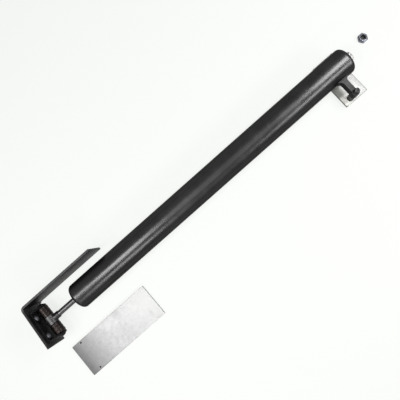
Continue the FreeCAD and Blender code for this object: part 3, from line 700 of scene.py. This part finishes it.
def makeLockNut():
    size = lockNutSize
    x, y, z = size["centre"]
    hexRadius, hexTop, top = size["acrossCorners"] / 2, size["hexTop"], size["top"]
    crown, lip, major, minor = size["crown"], size["lip"], size["major"], size["minor"]
    nut = rod(6, hexRadius, (x, y, z), (x, y, z + top), 30.0)
    blank = spun("Z", size["centre"], [
        (0.0, 0.0), (0.0, hexRadius - 1.15), (0.55, hexRadius + 0.1), (hexTop - 0.75, hexRadius + 0.1),
        (hexTop, hexRadius - 1.5), (hexTop, crown)]
        + arc((top - lip, crown - lip), lip, 90.0, 0.0, 4)
        + [(top, 0.0)], 96)
    carve(nut, blank, "INTERSECT")
    seat, seatBase = size["seat"], size["seatBase"]
    bore = spun("Z", size["centre"], [(-0.5, 0.0), (-0.5, major + 0.5), (0.45, minor)]
                + threadRings(0.6, seatBase - 0.2, size["pitch"], major, minor)
                + [(seatBase, minor), (seatBase, seat), (top + 0.5, seat), (top + 0.5, 0.0)], 64)
    carve(nut, bore)
    finishPiece(nut, "looseLockNut", "loose_nut", "nutBlue", ["stud_lock_nut"], 24.0)
    inner, outer, corner = size["ring"], seat - size["ringGap"], size["ringBreak"]
    low, high = seatBase + 0.02, top - 0.06
    ring = spun("Z", size["centre"], [
        (low, inner + corner), (low, outer), (top - 0.3, outer), (high, outer - corner), (high, inner + 0.5),
        (top - 0.5, inner), (seatBase + 0.3, inner), (low, inner + corner)], 64)
    return finishPiece(ring, "looseNutRing", "loose_nut", "insertNylon", ["lock_nut_insert"])


# pivot bolt: low round head with a six-sided socket
boltSize = {"shank": 3.0, "end": 26.5, "seat": 24.7, "headRadius": 6.0, "headRise": 2.6, "headBreak": 0.12,
            "socket": 2.31, "socketDepth": 1.5, "tip": 0.8}


def makeBolt():
    size = boltSize
    seat, rise, wide = size["seat"], size["headRise"], size["headRadius"]
    shank, tip, end = size["shank"], size["tip"], size["end"]
    dome = (wide ** 2 + rise ** 2) / (2 * rise)
    brim = wide - size["headBreak"]
    lowest = math.degrees(math.asin(brim / dome))
    head = arc((seat + rise - dome, 0.0), dome, lowest, 0.0, 10)
    bolt = spun("Y", boltAxis, [(-end, 0.0), (-end, shank - tip), (tip - end, shank), (seat, shank), (seat, brim)]
                + head, 72)
    x, y, z = boltAxis
    crest = y + seat + rise
    carve(bolt, rod(6, size["socket"], (x, crest - size["socketDepth"], z), (x, crest + 1.0, z)))
    return finishPiece(bolt, "pivotBoltRound", "gate_side", "oiledSteel", ["pivot_bolt"])


# bushes on the bolt, one each side of the eye, with chamfered ends and oil grooves
bushSize = {"start": 6.4, "end": 22.2, "radius": 7.9, "bore": 3.05, "chamfer": 1.0, "groove": 0.35,
            "grooveShares": (0.33, 0.67)}


def makeBushes():
    size = bushSize
    start, end, radius, bore = size["start"], size["end"], size["radius"], size["bore"]
    chamfer, groove = size["chamfer"], size["groove"]
    profile = [(start, bore), (start, radius - chamfer), (start + chamfer, radius)]
    for share in size["grooveShares"]:
        at = start + (end - start) * share
        profile += [(at - 2 * groove, radius), (at - groove, radius - groove), (at + groove, radius - groove),
                    (at + 2 * groove, radius)]
    profile += [(end - chamfer, radius), (end, radius - chamfer), (end, bore), (start, bore)]
    bushes = joinAll(*[spun("Y", boltAxis, [(side * along, across) for along, across in profile], 72)
                       for side in (1.0, -1.0)])
    return finishPiece(bushes, "pivotBushPair", "gate_side", "bushBronze", ["pivot_bushes"])


# rubber lip round the rod where it leaves the tube
wiperSize = {"axis": (-473.6, 42.5, 25.4), "inner": 4.2, "outer": 7.4, "reach": 1.7}


def makeWiper():
    size = wiperSize
    reach, inner, outer = size["reach"], size["inner"], size["outer"]
    lip = spun("X", size["axis"], [(-0.01, inner + 0.5), (-0.01, outer), (-0.5, outer), (-0.9, outer - 0.7),
                                   (-1.2, inner + 1.5), (-reach, inner + 0.9), (-reach, inner), (-1.0, inner),
                                   (-0.01, inner + 0.5)], 64)
    return finishPiece(lip, "rodWiperLip", "cylinder", "sealRubber")


# weld beads: rippled runs where the arm meets the tube, and a ring at the foot of the stud
beadSizes = {"arm": [(24.3, 32.0), (24.3, 18.8)], "half": 8.3, "thick": 0.95, "ripple": 1.2, "taper": 0.6,
             "foot": {"radius": 4.6, "thick": 0.32, "height": 4.8, "sink": 0.02}}


def makeBeads():
    half, thick, ripple, taper = (beadSizes[key] for key in ("half", "thick", "ripple", "taper"))
    profile = [(-half - taper, 0.0)]
    for index in range(int(2 * half / ripple)):
        at = -half + index * ripple
        profile += [(at, thick * 0.86), (at + ripple * 0.5, thick)]
    profile += [(half, thick * 0.8), (half + taper, 0.0)]
    beads = [spun("X", (0.0, y, z), profile, 24) for y, z in beadSizes["arm"]]
    finishPiece(joinAll(*beads), "armWeldBeads", "cylinder", "armBlack")
    foot = beadSizes["foot"]
    ring = spun("Z", (0.0, 0.0, foot["height"]), arc((0.0, foot["radius"]), foot["thick"], 0.0, 360.0, 16), 64)
    flat = (foot["height"] + foot["sink"]) * mm  # what is lower is pressed flat
    openMesh(ring)
    pick(ring, "verts", lambda vert: vert.co.z < flat)
    bpy.ops.transform.resize(value=(1.0, 1.0, 0.0), center_override=(0.0, 0.0, flat))
    closeMesh()
    return finishPiece(ring, "studFootWeld", "post_side", "oiledSteel")


# pivot stud: plain below, screw thread and chamfer at its end
studSize = {"low": 4.8, "threadStart": 32.5, "top": 38.9, "radius": 4.0, "core": 3.4, "pitch": 1.25, "chamfer": 0.8}


def makeStud():
    size = studSize
    low, top, radius, chamfer = size["low"], size["top"], size["radius"], size["chamfer"]
    stud = spun("Z", (0.0, 0.0, 0.0), [(low, 0.0), (low, radius), (size["threadStart"], radius)]
                + threadRings(size["threadStart"], top - chamfer, size["pitch"], size["core"], radius)
                + [(top - chamfer, radius - 0.1), (top, radius - chamfer), (top, 1.1), (top - 0.35, 0.0)], 72)
    return finishPiece(stud, "pivotStudTurned", "post_side", "studSteel", ["pivot_stud"], 24.0)


# speed screw: knurled head with a slot, its needle hidden in the plug
speedSize = {"axis": (0.0, 42.5, 25.4), "headBase": 25.3, "headEnd": 31.5, "headRadius": 6.5, "headBreak": 0.45,
             "ridges": 36, "ridge": 0.20, "slotDepth": 1.8, "slotHalf": 0.8, "slotReach": 8.0,
             "shank": 2.5, "needleRoot": 6.8, "needleTip": 0.8}


def makeSpeedScrew():
    size = speedSize
    _, y, z = size["axis"]
    base, end, valley = size["headBase"], size["headEnd"], size["headRadius"] - size["ridge"]
    head = rod(size["ridges"] * 2, valley, (base, y, z), (end, y, z))
    step = math.pi / size["ridges"]
    swell = size["headRadius"] / valley
    openMesh(head)
    pick(head, "verts", lambda vert: round(math.atan2(vert.co.z - z * mm, vert.co.y - y * mm) / step) % 2 == 0)
    bpy.ops.transform.resize(value=(1.0, swell, swell), center_override=Vector((base, y, z)) * mm)
    closeMesh()
    bevelEdges(head, size["headBreak"], 2, lambda edge: edge.calc_face_angle(0.0) > 1.2 and atX(edge, end))
    tidyMesh(head)
    reach, half = size["slotReach"], size["slotHalf"]
    carve(head, block((end - size["slotDepth"], y - reach, z - half), (end + 1.0, y + reach, z + half)))
    tip, thick, sunk = size["needleTip"], size["shank"], base + 0.2
    shank = spun("X", size["axis"], [(tip, 0.0), (tip, thick / 2), (size["needleRoot"], thick), (sunk, thick),
                                     (sunk, 0.0)], 48)
    return finishPiece(joinAll(head, shank), "speedScrewKnurled", "adjuster", "screwPale",
                       ["speed_screw"], 28.0)


# return spring inside the tube: one section of wire carried round and along
springSize = {"start": (-440.7, 42.5, 25.4), "coil": 12.0, "wire": 1.3, "sides": 12, "turns": 24, "steps": 32,
              "length": 399.9, "seat": -442.1, "washer": -39.4, "stroke": 220.0}


def makeSpring():
    size = springSize
    clearPick()
    bpy.ops.mesh.primitive_circle_add(vertices=size["sides"], radius=size["wire"] * mm,
                                      rotation=(math.pi / 2, 0.0, 0.0))
    spring = settle(bpy.context.object)
    openMesh(spring)
    bpy.ops.mesh.select_all(action="SELECT")
    bpy.ops.transform.translate(value=(0.0, 0.0, -size["coil"] * mm))
    closeMesh()
    spring.location = Vector(size["start"]) * mm
    coil = spring.modifiers.new("coil", "SCREW")
    coil.axis = "X"
    coil.iterations = size["turns"]
    coil.screw_offset = size["length"] / size["turns"] * mm
    coil.steps = coil.render_steps = size["steps"]
    makeActive(spring)
    bpy.ops.object.modifier_apply(modifier=coil.name)
    openMesh(spring)
    bpy.ops.mesh.select_all(action="SELECT")
    bpy.ops.mesh.fill_holes(sides=size["sides"])
    closeMesh()
    finishPiece(spring, "returnSpringCoil", "cylinder", "springWire", ["return_spring"], 60.0)
    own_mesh(spring)
    return spring


for makePart in (makeGateStrip, makeClevis, makeLockNut, makeBolt, makeBushes, makeWiper, makeBeads, makeStud,
                 makeSpeedScrew, makeSpring):
    made = makePart()
    print("made", made.name, len(made.data.polygons), "faces")
for plateName in plateSizes:
    made = makePlate(plateName)
    print("made", made.name, len(made.data.polygons), "faces")


# pale floor that keeps the shadow, under plain soft studio light
stageLook = {"size": 12.0, "centre": (-0.23, 0.0, 0.0), "drop": 0.0003, "colour": (0.86, 0.865, 0.86, 1.0),
             "patch": grey(0.85), "patchShare": 0.1, "white": (0.945, 0.965, 0.935, 1.0), "lift": 0.84,
             "fade": (0.9, 3.6), "far": 0.60, "nook": 0.006, "closed": (0.34, 0.50), "paintedNookShade": grey(0.03)}
clearPick()
bpy.ops.mesh.primitive_plane_add(size=stageLook["size"], location=stageLook["centre"])
floor = bpy.context.object
floor.name = "studioFloor"
floor.location.z -= stageLook["drop"]
settle(floor)
floorFinish = Finish("studioPaper")
patches = floorFinish.noise(floorFinish.where, 3.0, 2.0, 0.5) * stageLook["patchShare"]
nook = floorFinish.add("ShaderNodeAmbientOcclusion", {"samples": 24}, {"Distance": stageLook["nook"]}).out("AO")
openSky = floorFinish.between(nook, *stageLook["closed"])  # painted shade in narrow places, such as the bore of the nut
paperColour = floorFinish.mix(patches, stageLook["colour"], stageLook["patch"])
paperColour = floorFinish.mix(openSky, stageLook["paintedNookShade"], paperColour)
paper = floorFinish.add("ShaderNodeBsdfDiffuse", None, {"Color": paperColour})
glow = floorFinish.add("ShaderNodeEmission", None, {"Color": stageLook["white"], "Strength": 1.0})
ray = floorFinish.add("ShaderNodeLightPath")
seen = ray.out("Is Camera Ray") + ray.out("Is Glossy Ray") + ray.out("Is Transmission Ray")
away = floorFinish.add("ShaderNodeVectorMath", {"operation": "DISTANCE"},
                       {0: floorFinish.where, 1: stageLook["centre"]}).out("Value")
fading = floorFinish.between(away, *stageLook["fade"], 1.0, stageLook["far"])  # far off, the paper dims
glowShare = seen * openSky * fading * stageLook["lift"]
floorMix = floorFinish.add("ShaderNodeMixShader", None, {0: glowShare, 1: paper, 2: glow})
floorFinish.add("ShaderNodeOutputMaterial", None, {"Surface": floorMix})
floor.data.materials.append(floorFinish.owner)

# grey room, paler low down so that it meets the far paper
roomLook = {"sky": (0.13, 0.131, 0.133, 1.0), "horizon": (0.55, 0.556, 0.55, 1.0), "haze": (0.0, 0.17)}
world = bpy.data.worlds.new("studioSky")
sky = Finish("studioSky", world)
up = sky.parts(sky.add("ShaderNodeTexCoord").out("Generated"))[2]
haze = sky.between(up, *roomLook["haze"], 1.0, 0.0)
room = sky.add("ShaderNodeBackground", None, {"Color": sky.mix(haze, roomLook["sky"], roomLook["horizon"]),
                                              "Strength": 1.0})
sky.add("ShaderNodeOutputWorld", None, {"Surface": room})
bpy.context.scene.world = world

# soft panels
studioLamps = {
    "rearPanel": {"place": (0.29, 0.0, 0.62), "aim": (0.0, 0.04, 0.03), "size": (0.30, 0.22), "watts": 3.4},
    "frontPanel": {"place": (-0.53, 0.0, 0.62), "aim": (-0.37, 0.04, 0.03), "size": (0.24, 0.18), "watts": 1.7},
    "middlePanel": {"place": (-0.20, -0.03, 0.75), "aim": (-0.22, 0.04, 0.03), "size": (0.50, 0.60), "watts": 0.72},
    "leftPanel": {"place": (-0.79, 0.085, 0.59), "aim": (-0.52, 0.045, 0.03), "size": (0.12, 0.14), "watts": 1.2},
    "rearSide": {"place": (0.235, -0.43, 0.43), "aim": (0.0, 0.04, 0.03), "size": (0.43, 0.14), "watts": 1.95},
    "frontSide": {"place": (-0.52, -0.43, 0.43), "aim": (-0.37, 0.04, 0.03), "size": (0.24, 0.14), "watts": 0.95},
}
for lampName, lamp in studioLamps.items():
    lampData = bpy.data.lights.new(lampName, "AREA")
    lampData.shape = "RECTANGLE"
    lampData.size, lampData.size_y = lamp["size"]
    lampData.energy = lamp["watts"]
    lampObject = bpy.data.objects.new(lampName, lampData)
    lampObject.location = lamp["place"]
    toward = Vector(lamp["aim"]) - Vector(lamp["place"])
    lampObject.rotation_euler = toward.to_track_quat("-Z", "Y").to_euler()
    bpy.context.scene.collection.objects.link(lampObject)
print("floor and", len(studioLamps), "lamps set")
